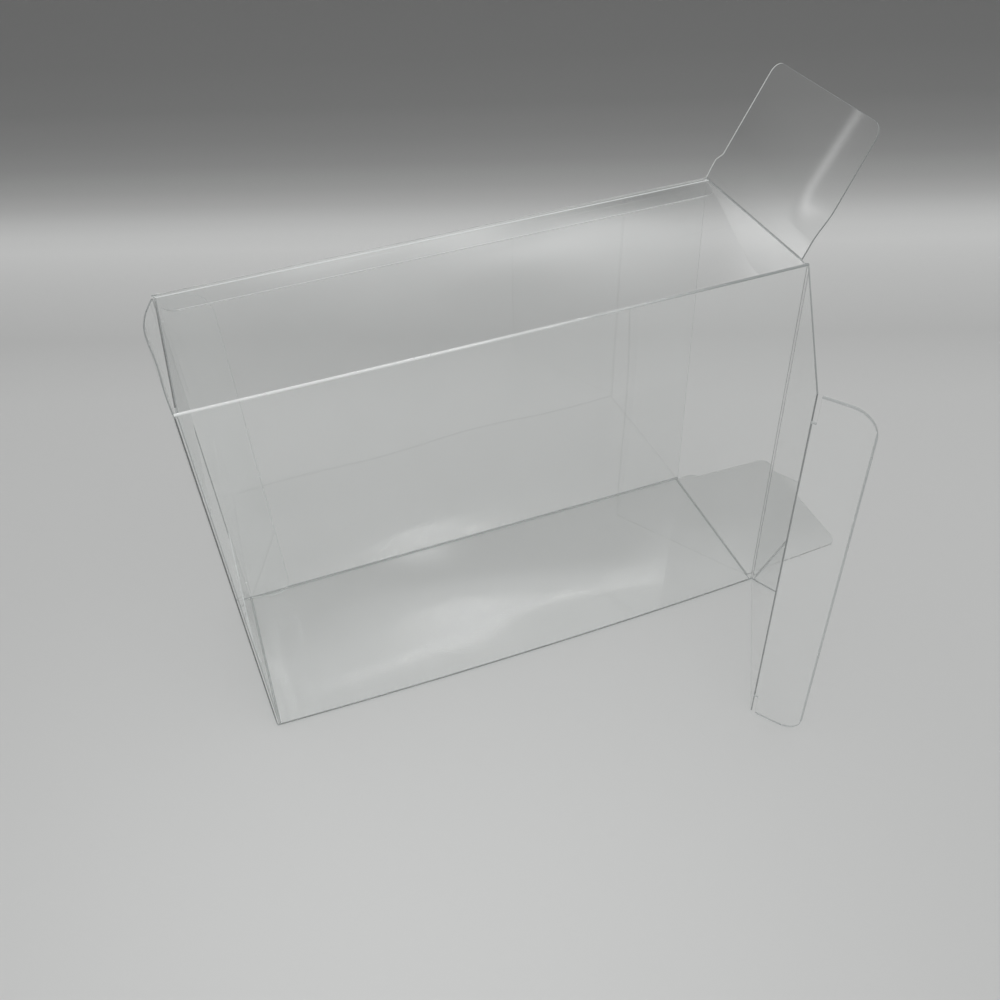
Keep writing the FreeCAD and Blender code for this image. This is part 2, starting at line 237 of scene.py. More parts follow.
def smooth_step(tree: bpy.types.NodeTree, value: bpy.types.NodeSocket, span: Point,
                ends: Point) -> bpy.types.NodeSocket:
    """Add a smooth step to a tree.

    Args:
        tree: the node tree to add to.
        value: what is stepped.
        span: where the step begins and ends.
        ends: the values before and after it.

    Returns:
        The stepped value.
    """
    node = tree.nodes.new("ShaderNodeMapRange")
    node.interpolation_type = "SMOOTHSTEP"
    for name, number in zip(("From Min", "From Max", "To Min", "To Max"), (*span, *ends)):
        node.inputs[name].default_value = number
    tree.links.new(value, node.inputs["Value"])
    return node.outputs["Result"]


def bell(tree: bpy.types.NodeTree, a: bpy.types.NodeSocket, b: bpy.types.NodeSocket) -> bpy.types.NodeSocket:
    """Add a soft round patch to a tree.

    Args:
        tree: the node tree to add to.
        a: the distance from its middle one way, as a share of its size.
        b: the same the other way.

    Returns:
        One in the middle, falling to nothing.
    """
    far = maths(tree, "ADD", maths(tree, "MULTIPLY", a, a), maths(tree, "MULTIPLY", b, b))
    return maths(tree, "POWER", 1 / math.e, far)


def fill_ramp(ramp: bpy.types.ShaderNodeValToRGB, stops: tuple[tuple[float, Triple], ...]) -> None:
    """Set a colour ramp's stops.

    Args:
        ramp: the ramp's node.
        stops: each stop's place and colour.
    """
    elements = ramp.color_ramp.elements
    while len(elements) < len(stops):
        elements.new(0.5)
    for element, (spot, colour) in zip(elements, stops):
        element.position = spot
        element.color = (*colour, 1.0)


@dataclass(frozen=True)
class HandlingMarks:
    """Shared effect: faint smears and hairline scratches that a hand leaves on clear film, and a painted
    glint that fades along X.
    """

    name: str = "handling_marks"
    smear_scale: float = 26.0
    smear_detail: float = 2.0
    smear_roughness: float = 0.65
    smear_span: Point = (0.5, 0.78)
    scratch_turn: Triple = (0.35, 0.5, 0.25)
    scratch_scale: Triple = (14.0, 900.0, 900.0)
    scratch_span: Point = (0.74, 0.86)
    wave_scale: float = 19.0

    def group(self) -> bpy.types.ShaderNodeTree:
        """Build the node group once, and give it again after that.

        Returns:
            The group.
        """
        if self.name in bpy.data.node_groups:
            return bpy.data.node_groups[self.name]
        tree = bpy.data.node_groups.new(self.name, "ShaderNodeTree")
        for label in ("Base", "Smear", "Scratch", "Wave", "Lean"):
            tree.interface.new_socket(label, in_out="INPUT", socket_type="NodeSocketFloat")
        for label in ("Roughness", "Height", "Tone"):
            tree.interface.new_socket(label, in_out="OUTPUT", socket_type="NodeSocketFloat")
        self._wire(tree)
        return tree

    def _wire(self, tree: bpy.types.ShaderNodeTree) -> None:
        """Lay the group's nodes: smears and a painted glint fading along X into tone, smears into roughness,
        scratches and slow waves into height.

        Args:
            tree: the group's node tree.
        """
        nodes, links = tree.nodes, tree.links
        inside = nodes.new("NodeGroupInput")
        outside = nodes.new("NodeGroupOutput")
        place = nodes.new("ShaderNodeTexCoord").outputs["Object"]
        stretch = nodes.new("ShaderNodeMapping")
        stretch.inputs["Rotation"].default_value = self.scratch_turn
        stretch.inputs["Scale"].default_value = self.scratch_scale
        links.new(place, stretch.inputs["Vector"])
        smear = self._noise(tree, place, self.smear_scale)
        smear.node.inputs["Detail"].default_value = self.smear_detail
        smear.node.inputs["Roughness"].default_value = self.smear_roughness
        hair = self._noise(tree, stretch.outputs["Vector"], 1.0)
        wave = self._noise(tree, place, self.wave_scale)
        patch = self._span(tree, smear, self.smear_span)
        line = self._span(tree, hair, self.scratch_span)
        haze = maths(tree, "MULTIPLY", patch, inside.outputs["Smear"])
        rough = maths(tree, "ADD", haze, inside.outputs["Base"])
        cut = maths(tree, "MULTIPLY", line, inside.outputs["Scratch"])
        swell = maths(tree, "MULTIPLY", wave, inside.outputs["Wave"])
        height = maths(tree, "SUBTRACT", swell, cut)
        split = nodes.new("ShaderNodeSeparateXYZ")
        links.new(place, split.inputs["Vector"])
        # Lean tilts the tone along X: a painted glint that fades into painted shade along a fold.
        tone = maths(tree, "MULTIPLY_ADD", split.outputs["X"], inside.outputs["Lean"], patch)
        tone.node.use_clamp = True
        links.new(rough, outside.inputs["Roughness"])
        links.new(height, outside.inputs["Height"])
        links.new(tone, outside.inputs["Tone"])

    @staticmethod
    def _noise(tree: bpy.types.ShaderNodeTree, place: bpy.types.NodeSocket,
               scale: float) -> bpy.types.NodeSocket:
        """Add a smooth noise.

        Args:
            tree: the group's node tree.
            place: where the noise is read.
            scale: its waves per metre.

        Returns:
            Its value.
        """
        node = tree.nodes.new("ShaderNodeTexNoise")
        node.inputs["Scale"].default_value = scale
        node.inputs["Detail"].default_value = 0.0
        tree.links.new(place, node.inputs["Vector"])
        return node.outputs["Fac"]

    @staticmethod
    def _span(tree: bpy.types.ShaderNodeTree, value: bpy.types.NodeSocket,
              span: Point) -> bpy.types.NodeSocket:
        """Spread a stretch of values over nought to one.

        Args:
            tree: the group's node tree.
            value: what is spread.
            span: the stretch.

        Returns:
            The spread value.
        """
        node = tree.nodes.new("ShaderNodeMapRange")
        node.inputs["From Min"].default_value = span[0]
        node.inputs["From Max"].default_value = span[1]
        tree.links.new(value, node.inputs["Value"])
        return node.outputs["Result"]


@dataclass(frozen=True)
class FilmFinish:
    """Clear PET sheet. Lamps shine through it, less a little at each face."""

    name: str
    # tint: the film's colour; on the crease, the paler edges and the highlights it holds painted shade or
    # painted light.
    tint: Colour
    # The second colour that the tone mixes in: smears, and on the fading highlight the painted shade at its
    # right end.
    worn_and_painted_shade: Colour
    lamp_tint: Colour
    base: float
    smear: float
    scratch: float
    wave: float
    bump: float
    clear: float = 1.0
    # lean: how fast the tone grows with X; it only paints a glint that fades.
    lean: float = 0.0
    ior: float = 1.57
    relief: float = 0.1 * MM

    def material(self) -> bpy.types.Material:
        """Build the material once, and give it again after that.

        Returns:
            The material.
        """
        if self.name in bpy.data.materials:
            return bpy.data.materials[self.name]
        material = bpy.data.materials.new(self.name)
        material.use_nodes = True
        nodes, links = material.node_tree.nodes, material.node_tree.links
        nodes.clear()
        film = nodes.new("ShaderNodeBsdfPrincipled")
        film.inputs["Transmission Weight"].default_value = self.clear
        film.inputs["IOR"].default_value = self.ior
        marks = nodes.new("ShaderNodeGroup")
        marks.node_tree = HandlingMarks().group()
        for label, value in (("Base", self.base), ("Smear", self.smear), ("Scratch", self.scratch),
                             ("Wave", self.wave), ("Lean", self.lean)):
            marks.inputs[label].default_value = value
        colour = nodes.new("ShaderNodeMix")
        colour.data_type = "RGBA"
        colour.inputs["A"].default_value = self.tint
        colour.inputs["B"].default_value = self.worn_and_painted_shade
        links.new(marks.outputs["Tone"], colour.inputs["Factor"])
        links.new(colour.outputs["Result"], film.inputs["Base Color"])
        relief = nodes.new("ShaderNodeBump")
        relief.inputs["Strength"].default_value = self.bump
        relief.inputs["Distance"].default_value = self.relief
        links.new(marks.outputs["Height"], relief.inputs["Height"])
        links.new(marks.outputs["Roughness"], film.inputs["Roughness"])
        links.new(relief.outputs["Normal"], film.inputs["Normal"])
        through = nodes.new("ShaderNodeBsdfTransparent")
        through.inputs["Color"].default_value = self.lamp_tint
        path = nodes.new("ShaderNodeLightPath")
        shown = film.outputs["BSDF"]
        for kind in ("Is Shadow Ray", "Is Diffuse Ray"):
            mix = nodes.new("ShaderNodeMixShader")
            links.new(path.outputs[kind], mix.inputs["Fac"])
            links.new(shown, mix.inputs[1])
            links.new(through.outputs["BSDF"], mix.inputs[2])
            shown = mix.outputs["Shader"]
        result = nodes.new("ShaderNodeOutputMaterial")
        links.new(shown, result.inputs["Surface"])
        return material


@dataclass(frozen=True)
class FilmFinishes:
    """The finishes of one sheet: its faces, pressed creases painted dark as shade, die-cut edges and their
    paler painted copies, and folds and rims painted near white as highlights.
    """

    face: FilmFinish = FilmFinish(
        "clear_film_face", (0.985, 0.99, 0.988, 1.0), (0.965, 0.972, 0.969, 1.0), (0.963, 0.965, 0.964, 1.0),
        base=0.0, smear=0.04, scratch=0.1, wave=0.5, bump=0.2)
    # Crease: a pressed score line; its dark grey is painted shade.
    crease: FilmFinish = FilmFinish(
        "film_crease_painted_shade", (0.56, 0.58, 0.575, 1.0), (0.46, 0.48, 0.475, 1.0), (0.85, 0.87, 0.865, 1.0),
        base=0.05, smear=0.08, scratch=0.2, wave=0.2, bump=0.2, clear=0.7)
    edge: FilmFinish = FilmFinish(
        "film_cut_edge", (0.46, 0.485, 0.48, 1.0), (0.34, 0.365, 0.36, 1.0), (0.85, 0.87, 0.865, 1.0),
        base=0.25, smear=0.10, scratch=0.3, wave=0.2, bump=0.3, clear=0.4)
    # A paler painted copy of the cut edge, on the tucked pieces, to lighten their edge lines.
    tucked_edge_painted_light: FilmFinish = FilmFinish(
        "film_tucked_edge", (0.92, 0.945, 0.94, 1.0), (0.85, 0.88, 0.87, 1.0), (0.95, 0.955, 0.953, 1.0),
        base=0.25, smear=0.10, scratch=0.3, wave=0.2, bump=0.3, clear=0.35)
    # A paler painted copy of the cut edge, on the open tongue's edges and its wide rim.
    soft_edge_painted_light: FilmFinish = FilmFinish(
        "film_soft_edge", (0.69, 0.715, 0.71, 1.0), (0.61, 0.635, 0.63, 1.0), (0.9, 0.91, 0.905, 1.0),
        base=0.25, smear=0.10, scratch=0.3, wave=0.2, bump=0.3, clear=0.45)
    # Painted highlight: near white on the top folds, the seam's edges, the tab's ends and a dust flap's back
    # edge.
    painted_highlight: FilmFinish = FilmFinish(
        "whitened_film_fold", (0.95, 0.965, 0.96, 1.0), (0.86, 0.89, 0.885, 1.0), (0.85, 0.87, 0.865, 1.0),
        base=0.3, smear=0.10, scratch=0.3, wave=0.2, bump=0.3, clear=0.2)
    # Painted glint on the front top fold: white at the left end, fading to dark grey towards the right.
    half_whitened: FilmFinish = FilmFinish(
        "half_whitened_film_fold", (0.95, 0.965, 0.96, 1.0), (0.40, 0.425, 0.42, 1.0),
        (0.85, 0.87, 0.865, 1.0),
        base=0.25, smear=0.10, scratch=0.3, wave=0.2, bump=0.3, clear=0.35, lean=14.0)

    def dress(self, piece: bpy.types.Object, body: str, edge: FilmFinish | None = None) -> None:
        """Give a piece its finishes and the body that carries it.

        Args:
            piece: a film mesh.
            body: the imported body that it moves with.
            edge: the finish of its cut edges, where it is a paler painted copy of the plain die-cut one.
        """
        for finish in (self.face, self.crease, edge or self.edge, self.painted_highlight, self.half_whitened):
            piece.data.materials.append(finish.material())
        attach(piece, body)
        LOG.info("%s rides on %s, %d faces", piece.name, body, len(piece.data.polygons))


@dataclass
class FaceList:
    """The faces of a sheet under way, with their kinds of surface."""

    corners: list[tuple[int, ...]] = field(default_factory=list)
    skins: list[Skin] = field(default_factory=list)

    def add(self, skin: Skin, *corners: int) -> None:
        """Keep one face."""
        self.corners.append(corners)
        self.skins.append(skin)


@dataclass(frozen=True)
class SheetRow:
    """One line across a flap: its distance from the crease, its two ends and half of the film there."""

    reach: float
    low: float
    high: float
    half: float


@dataclass
class FlapSheet:
    """One flap of film, cut as rows from its crease to its free edge."""

    name: str
    origin: Vector
    out: Vector
    along: Vector
    rows: list[SheetRow]
    columns: int
    bow: Callable[[float, float], float] = flat
    crease_end: float = 0.35 * MM
    rim: float = 0.0
    far_rim: Skin = Skin.EDGE
    rim_slack: float = 1.01
    probe: float = 0.05 * MM

    def build(self) -> bpy.types.Object:
        """Make the closed sheet.

        Returns:
            The linked object.
        """
        across = self._across()
        upper, lower = [], []
        for row in self.rows:
            for share in across:
                place = row.low + (row.high - row.low) * share
                middle, normal = self._middle(row.reach, place)
                upper.append(middle + normal * row.half)
                lower.append(middle - normal * row.half)
        faces = self._faces(len(upper), len(across))
        return new_object(self.name, upper + lower, faces.corners, faces.skins)

    def _across(self) -> list[float]:
        """List where a row has points, with a narrow rim at both ends.

        Returns:
            Shares of the row's width.
        """
        shares = {column / self.columns for column in range(self.columns + 1)}
        if self.rim > 0:
            end = self.rim / max(row.high - row.low for row in self.rows)
            shares |= {end, 1 - end}
        return sorted(shares)

    def _middle(self, reach: float, across: float) -> tuple[Vector, Vector]:
        """Find the bowed middle surface.

        Args:
            reach: distance from the crease.
            across: place along it.

        Returns:
            A point of the surface and its normal.
        """
        step = self.probe
        up = self.out.cross(self.along)
        rise = self.bow(reach, across)
        by_reach = (self.bow(reach + step, across) - self.bow(reach - step, across)) / (2 * step)
        by_across = (self.bow(reach, across + step) - self.bow(reach, across - step)) / (2 * step)
        point = self.origin + self.out * reach + self.along * across + up * rise
        return point, (up - self.out * by_reach - self.along * by_across).normalized()

    def _faces(self, offset: int, wide: int) -> FaceList:
        """List the faces of both sides and of the rim.

        Args:
            offset: from a point of the upper side to the same point of the lower one.
            wide: the number of points across.

        Returns:
            The faces.
        """
        faces = FaceList()
        last = len(self.rows) - 1
        for r in range(last):
            skin = Skin.CREASE if self.rows[r + 1].reach <= self.crease_end else Skin.FACE
            if self.rim > 0 and self.rows[r].reach >= self.rows[last].reach - self.rim_slack * self.rim:
                skin = Skin.EDGE
            for c in range(wide - 1):
                a, b = r * wide + c, (r + 1) * wide + c
                kind = skin
                if self.rim > 0 and c in (0, wide - 2):
                    kind = self.far_rim if c > 0 else Skin.EDGE
                faces.add(kind, a, b, b + 1, a + 1)
                faces.add(kind, a + offset, a + 1 + offset, b + 1 + offset, b + offset)
            for c in (0, wide - 1):
                a, b = r * wide + c, (r + 1) * wide + c
                faces.add(Skin.EDGE, a, b, b + offset, a + offset)
        for r in (0, last):
            if self.rows[r].half > 0:
                for c in range(wide - 1):
                    a = r * wide + c
                    faces.add(Skin.EDGE, a, a + 1, a + 1 + offset, a + offset)
        return faces


@dataclass
class FlapCut:
    """Helps to list a flap's rows: a half-round crease roll, then rows to a free edge with round corners."""

    half: float
    length: float
    corner: float
    sides: Callable[[float], Point]
    stops: tuple[float, ...] = ()
    spacing: float = 3.0 * MM
    crease_line: float = 0.3 * MM
    roll_steps: int = 5
    corner_steps: int = 8

    def rows(self) -> list[SheetRow]:
        """List the rows from the crease roll's tip to the free edge.

        Returns:
            The rows.
        """
        found = []
        for step in range(self.roll_steps):
            turn = QUARTER_TURN * step / self.roll_steps
            found.append(SheetRow(-self.half * math.cos(turn), *self.sides(0.0), self.half * math.sin(turn)))
        straight = self.length - self.corner
        count = max(2, round(straight / self.spacing))
        reaches = {*(straight * n / count for n in range(count + 1)), self.crease_line, *self.stops}
        found += [SheetRow(reach, *self.sides(reach), self.half) for reach in sorted(reaches)]
        for step in range(1, self.corner_steps + 1):
            turn = QUARTER_TURN * step / self.corner_steps
            reach = straight + self.corner * math.sin(turn)
            inset = self.corner * (1 - math.cos(turn))
            low, high = self.sides(reach)
            found.append(SheetRow(reach, low + inset, high - inset, self.half))
        return found


@dataclass(frozen=True)
class SectionRow:
    """One line along the sleeve: its place in the section, its outward way and the skin up to the next."""

    y: float
    z: float
    side: float
    up: float
    panel: Panel
    skin: Skin


@dataclass(frozen=True)
class Ripple:
    """One slow wave over a panel: radians per metre along it and across it, its start and its share."""

    along: float
    across: float
    start: float
    share: float = 1.0

    def height(self, x: float, other: float) -> float:
        """Give the wave's height at a place."""
        return self.share * math.sin(self.along * x + self.across * other + self.start)


@dataclass
class Sleeve:
    """The four panels and the glue tab, folded from one sheet."""

    sizes: CartonSizes
    finishes: FilmFinishes
    glue_gap: float = 0.05 * MM
    stations: int = 72
    deep_rows: int = 18
    tall_rows: int = 34
    fold_steps: int = 6
    strip: float = 0.3 * MM
    crease_strip: float = 0.35 * MM
    front_bow_top: float = 0.4 * MM
    front_bow_bottom: float = 1.8 * MM
    back_bow: float = 0.9 * MM
    top_sag: float = 0.15 * MM
    top_ripple: float = 0.04 * MM
    bottom_rise: float = 0.5 * MM
    ripple: float = 0.16 * MM
    upright_waves: tuple[Ripple, ...] = (Ripple(52, 21, 0.6), Ripple(83, -37, 2.1, 0.6))
    top_waves: tuple[Ripple, ...] = (Ripple(61, -70, 1.2), Ripple(97, 45, 0.0, 0.5))
    bottom_wave: Ripple = Ripple(47, 55, 0.9, 0.5)
    # Panels whose strips at both ends take the crease finish with its painted shade, outside and inside.
    pressed_outside: tuple[Panel, ...] = (Panel.TOP, Panel.FRONT, Panel.BOTTOM)
    pressed_inside: tuple[Panel, ...] = (Panel.TOP, Panel.BOTTOM)

    def build(self) -> None:
        """Make the folded sheet in place of its solid."""
        section = self._section()
        end = self.crease_strip / self.sizes.length
        shares = sorted({end, 1 - end, *(n / self.stations for n in range(self.stations + 1))})
        outer, inner = [], []
        half = self.sizes.half_film
        for row in section:
            low, high = self._ends(row.y, row.z, row.panel)
            for share in shares:
                x = low + (high - low) * share
                dy, dz = self._drift(x, row)
                outer.append(Vector((x, row.y + dy + row.side * half, row.z + dz + row.up * half)))
                inner.append(Vector((x, row.y + dy - row.side * half, row.z + dz - row.up * half)))
        faces = self._faces(section, len(shares))
        piece = new_object("sleeve_film", outer + inner, faces.corners, faces.skins)
        self.finishes.dress(piece, "sleeve")
        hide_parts("sleeve")

    def _section(self) -> list[SectionRow]:
        """List the middle surface round the section, from the top panel's free edge to the tab's.

        Returns:
            The section's rows.
        """
        s = self.sizes
        r = s.fold_radius - s.half_film
        front, back = -s.depth / 2 + s.fold_radius, s.depth / 2 - s.fold_radius
        low, high = s.fold_radius, s.height - s.fold_radius
        tab_fold = high - s.film - self.glue_gap
        seam, tab_edge = s.depth / 2 - s.seam_setback, s.depth / 2 - s.tab_width
        deep, tall = self.deep_rows, self.tall_rows
        # white and half paint highlights on the upper folds and edges; the lower folds take the crease
        # finish, painted dark as shade.
        face, crease, white, half = Skin.FACE, Skin.CREASE, Skin.PAINTED_HIGHLIGHT, Skin.HALF_WHITENED
        return [
            *self._run((seam, high + r), (front, high + r), deep, Panel.TOP, (white, face, half)),
            *self._fold((front, high), math.radians(90), half),
            *self._run((front - r, high), (front - r, low), tall, Panel.FRONT, (face, crease, crease)),
            *self._fold((front, low), math.radians(180), crease),
            *self._run((front, low - r), (back, low - r), deep, Panel.BOTTOM, (crease, crease, crease)),
            *self._fold((back, low), math.radians(270), crease),
            *self._run((back + r, low), (back + r, tab_fold), tall, Panel.BACK, (crease, white, white)),
            *self._fold((back, tab_fold), 0.0, white),
            *self._run((back, tab_fold + r), (tab_edge, tab_fold + r), deep, Panel.TAB, (face, white, white)),
        ]

    def _run(self, a: Point, b: Point, count: int, panel: Panel,
             skins: tuple[Skin, Skin, Skin]) -> list[SectionRow]:
        """List the rows of a flat stretch.

        Args:
            a: where it begins in the section.
            b: where it ends.
            count: the number of its rows.
            panel: the panel that it is.
            skins: the skins of its first strip, of its last strip and of the fold that follows it.

        Returns:
            The stretch's rows.
        """
        first, last, after = skins
        away = Vector((b[1] - a[1], a[0] - b[0])).normalized()
        near = self.strip / math.dist(a, b)
        rows = []
        for share in sorted({near, 1 - near, *(n / count for n in range(count + 1))}):
            skin = Skin.FACE
            if share < near:
                skin = first
            elif share >= 1:
                skin = after
            elif share >= 1 - near:
                skin = last
            y, z = a[0] + (b[0] - a[0]) * share, a[1] + (b[1] - a[1]) * share
            rows.append(SectionRow(y, z, away.x, away.y, panel, skin))
        return rows

    def _fold(self, centre: Point, start: float, skin: Skin) -> list[SectionRow]:
        """List the rows of a quarter turn.

        Args:
            centre: the fold's middle in the section.
            start: the angle that it starts from.
            skin: the fold's skin.

        Returns:
            The fold's rows.
        """
        radius = self.sizes.fold_radius - self.sizes.half_film
        rows = []
        for n in range(1, self.fold_steps):
            turn = start + QUARTER_TURN * n / self.fold_steps
            side, up = math.cos(turn), math.sin(turn)
            y, z = centre[0] + radius * side, centre[1] + radius * up
            rows.append(SectionRow(y, z, side, up, Panel.FOLD, skin))
        return rows

    def _ends(self, y: float, z: float, panel: Panel) -> Point:
        """Find the two ends of the sheet along X.

        Args:
            y: a place of the section.
            z: its height.
            panel: the panel that it lies on.

        Returns:
            The left end and the right end.
        """
        s = self.sizes
        reach = s.length / 2
        if panel in (Panel.TOP, Panel.BOTTOM) and abs(y) < s.depth / 2 - s.fold_radius:
            reach = s.dust_crease - s.half_film - s.crease_touch
        elif panel is Panel.FRONT and s.fold_radius < z < s.height - s.fold_radius:
            reach -= s.half_film + s.closure_crease_gap
        elif panel is Panel.TAB:
            reach -= s.tab_end_gap + s.tab_taper * (s.depth / 2 - y) / s.tab_width
            short = max(0.0, s.tab_corner - (y - s.depth / 2 + s.tab_width))
            reach -= s.tab_corner - math.sqrt(max(s.tab_corner ** 2 - short ** 2, 0.0))
        return -reach, reach

    def _drift(self, x: float, row: SectionRow) -> Point:
        """Say how far the springy sheet stands off its flat place.

        Args:
            x: the place along the carton.
            row: the place in the section.

        Returns:
            How far it stands off along Y and along Z.
        """
        s, y, z, panel = self.sizes, row.y, row.z, row.panel
        along = 1 - (2 * x / s.length) ** 2
        deep = 1 - (2 * y / s.depth) ** 2
        tall = 1 - (2 * z / s.height - 1) ** 2
        to_front = 0.5 - y / s.depth
        bow = self.front_bow_top + (self.front_bow_bottom - self.front_bow_top) * (1 - z / s.height)
        dy = -bow * along * to_front ** 2
        dz = 0.0
        if panel in (Panel.FRONT, Panel.BACK):
            wave = sum(ripple.height(x, z) for ripple in self.upright_waves)
            dy += row.side * self.ripple * wave * along * tall
            dy -= self.back_bow * along * tall if panel is Panel.BACK else 0.0
        elif panel in (Panel.TOP, Panel.TAB):
            wave = sum(ripple.height(x, y) for ripple in self.top_waves)
            dz += (self.top_ripple * wave - self.top_sag) * along * deep
        elif panel is Panel.BOTTOM:
            wave = 1 + self.bottom_wave.height(x, y)
            dz += self.bottom_rise * wave * along * deep
        return dy, dz

    def _faces(self, section: list[SectionRow], wide: int) -> FaceList:
        """List the faces of both sides and of the rim.

        Args:
            section: the section's rows.
            wide: the number of points along each.

        Returns:
            The faces.
        """
        faces = FaceList()
        offset = len(section) * wide
        last = len(section) - 1
        for r in range(last):
            panel, plain = section[r].panel, section[r].skin
            for c in range(wide - 1):
                a, b = r * wide + c, (r + 1) * wide + c
                creased = plain is Skin.FACE and c in (0, wide - 2)
                outside = Skin.CREASE if creased and panel in self.pressed_outside else plain
                inside = Skin.CREASE if creased and panel in self.pressed_inside else plain
                faces.add(outside, a, b, b + 1, a + 1)
                faces.add(inside, a + offset, a + 1 + offset, b + 1 + offset, b + offset)
            # The glue tab's ends are painted near white as highlights, and so are the free edges of the top
            # panel and the tab.
            rim = Skin.PAINTED_HIGHLIGHT if panel is Panel.TAB else Skin.EDGE
            for c in (0, wide - 1):
                a, b = r * wide + c, (r + 1) * wide + c
                faces.add(rim, a, b, b + offset, a + offset)
        for r in (0, last):
            for c in range(wide - 1):
                a = r * wide + c
                faces.add(section[r].skin, a, a + 1, a + 1 + offset, a + offset)
        return faces


@dataclass
class DustFlaps:
    """The four dust flaps: two shut inside the left end, two open at the right end."""

    sizes: CartonSizes
    finishes: FilmFinishes
    length: float = 43.0 * MM
    front_inset: float = 3.2 * MM
    front_taper: float = 2.2 * MM
    flare: float = 3.6 * MM
    shoulder: float = 6.8 * MM
    step: float = 9.6 * MM
    back_taper: float = 1.2 * MM
    corner: float = 4.0 * MM
    slide_room: float = 1.2 * MM
    top_lift: float = 61.4
    curl_start: float = -10.5 * MM
    curl_run: float = 9.0 * MM
    curl_slope: float = 0.1
    curl_root: float = 6.0 * MM
    curl_growth: float = 0.25
    raised_rim: float = 0.2 * MM
    columns: int = 44

    def build(self) -> None:
        """Make all four flaps."""
        s = self.sizes
        low_z, high_z = s.half_film, s.height - s.half_film
        lift = math.radians(self.top_lift)
        raised = Vector((math.cos(lift), 0, math.sin(lift)))
        self._flap("right_top_dust_film", Vector((s.dust_crease, 0, high_z)), raised,
                   "right_top_dust_flap", True, self._curl, self.raised_rim)
        self._flap("right_bottom_dust_film", Vector((s.dust_crease, 0, low_z)), Vector((1, 0, 0)),
                   "right_bottom_dust_flap", True)
        self._flap("left_top_dust_film", Vector((-s.dust_crease, 0, high_z)), Vector((0, 0, -1)),
                   "sleeve", False)
        self._flap("left_bottom_dust_film", Vector((-s.dust_crease, 0, low_z)), Vector((0, 0, 1)),
                   "sleeve", False)

    def _curl(self, reach: float, across: float) -> float:
        """Bend the flap's front side gently away, more towards its free edge.

        Args:
            reach: distance from the crease.
            across: place along it.

        Returns:
            How far the flap stands off its flat place.
        """
        past = max(0.0, self.curl_start - across)
        bend = past ** 2 / (2 * self.curl_run) if past < self.curl_run else past - self.curl_run / 2
        free = min(max((reach - self.curl_root) / (self.curl_growth * self.length), 0.0), 1.0)
        return -self.curl_slope * bend * free ** 2 * (3 - 2 * free)

    def _flap(self, name: str, origin: Vector, out: Vector, body: str, locks: bool,
              bow: Callable[[float, float], float] = flat, rim: float = 0.0) -> None:
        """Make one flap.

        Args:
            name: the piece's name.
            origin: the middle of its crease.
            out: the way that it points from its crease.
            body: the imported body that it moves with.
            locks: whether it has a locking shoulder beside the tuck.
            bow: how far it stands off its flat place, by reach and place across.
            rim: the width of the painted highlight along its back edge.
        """
        sides = self._shouldered if locks else self._pressed
        stops = (self.flare, self.shoulder, self.step) if locks else ()
        cut = FlapCut(self.sizes.half_film, self.length, self.corner, sides, stops)
        # The rim along the back edge is painted near white as a highlight.
        sheet = FlapSheet(name, origin, out, Vector((0, 1, 0)), cut.rows(), self.columns, bow, rim=rim,
                          far_rim=Skin.PAINTED_HIGHLIGHT)
        piece = sheet.build()
        self.finishes.dress(piece, body, None if locks else self.finishes.tucked_edge_painted_light)
        if locks:
            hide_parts(body)

    def _pressed(self, reach: float) -> Point:
        """Find the flap's two sides where the tongue has pressed its shoulder away.

        Args:
            reach: distance from the crease.

        Returns:
            The front side and the back side.
        """
        s = self.sizes
        share = max(reach, 0.0) / self.length
        step = s.depth / 2 - 2 * s.film - 2 * s.clearance - self.slide_room
        return -s.depth / 2 + self.front_inset + self.front_taper * share, step - self.back_taper * share

    def _shouldered(self, reach: float) -> Point:
        """Find the flap's two sides with the locking shoulder near its crease.

        Args:
            reach: distance from the crease.

        Returns:
            The front side and the back side.
        """
        s = self.sizes
        front, step = self._pressed(reach)
        root = s.depth / 2 - s.fold_radius - s.clearance
        full = s.depth / 2 - s.film - s.clearance
        foot = self._pressed(self.step)[1]
        back = np.interp(max(reach, 0.0), (0, self.flare, self.shoulder, self.step), (root, full, full, foot))
        return front, float(back) if reach < self.step else step


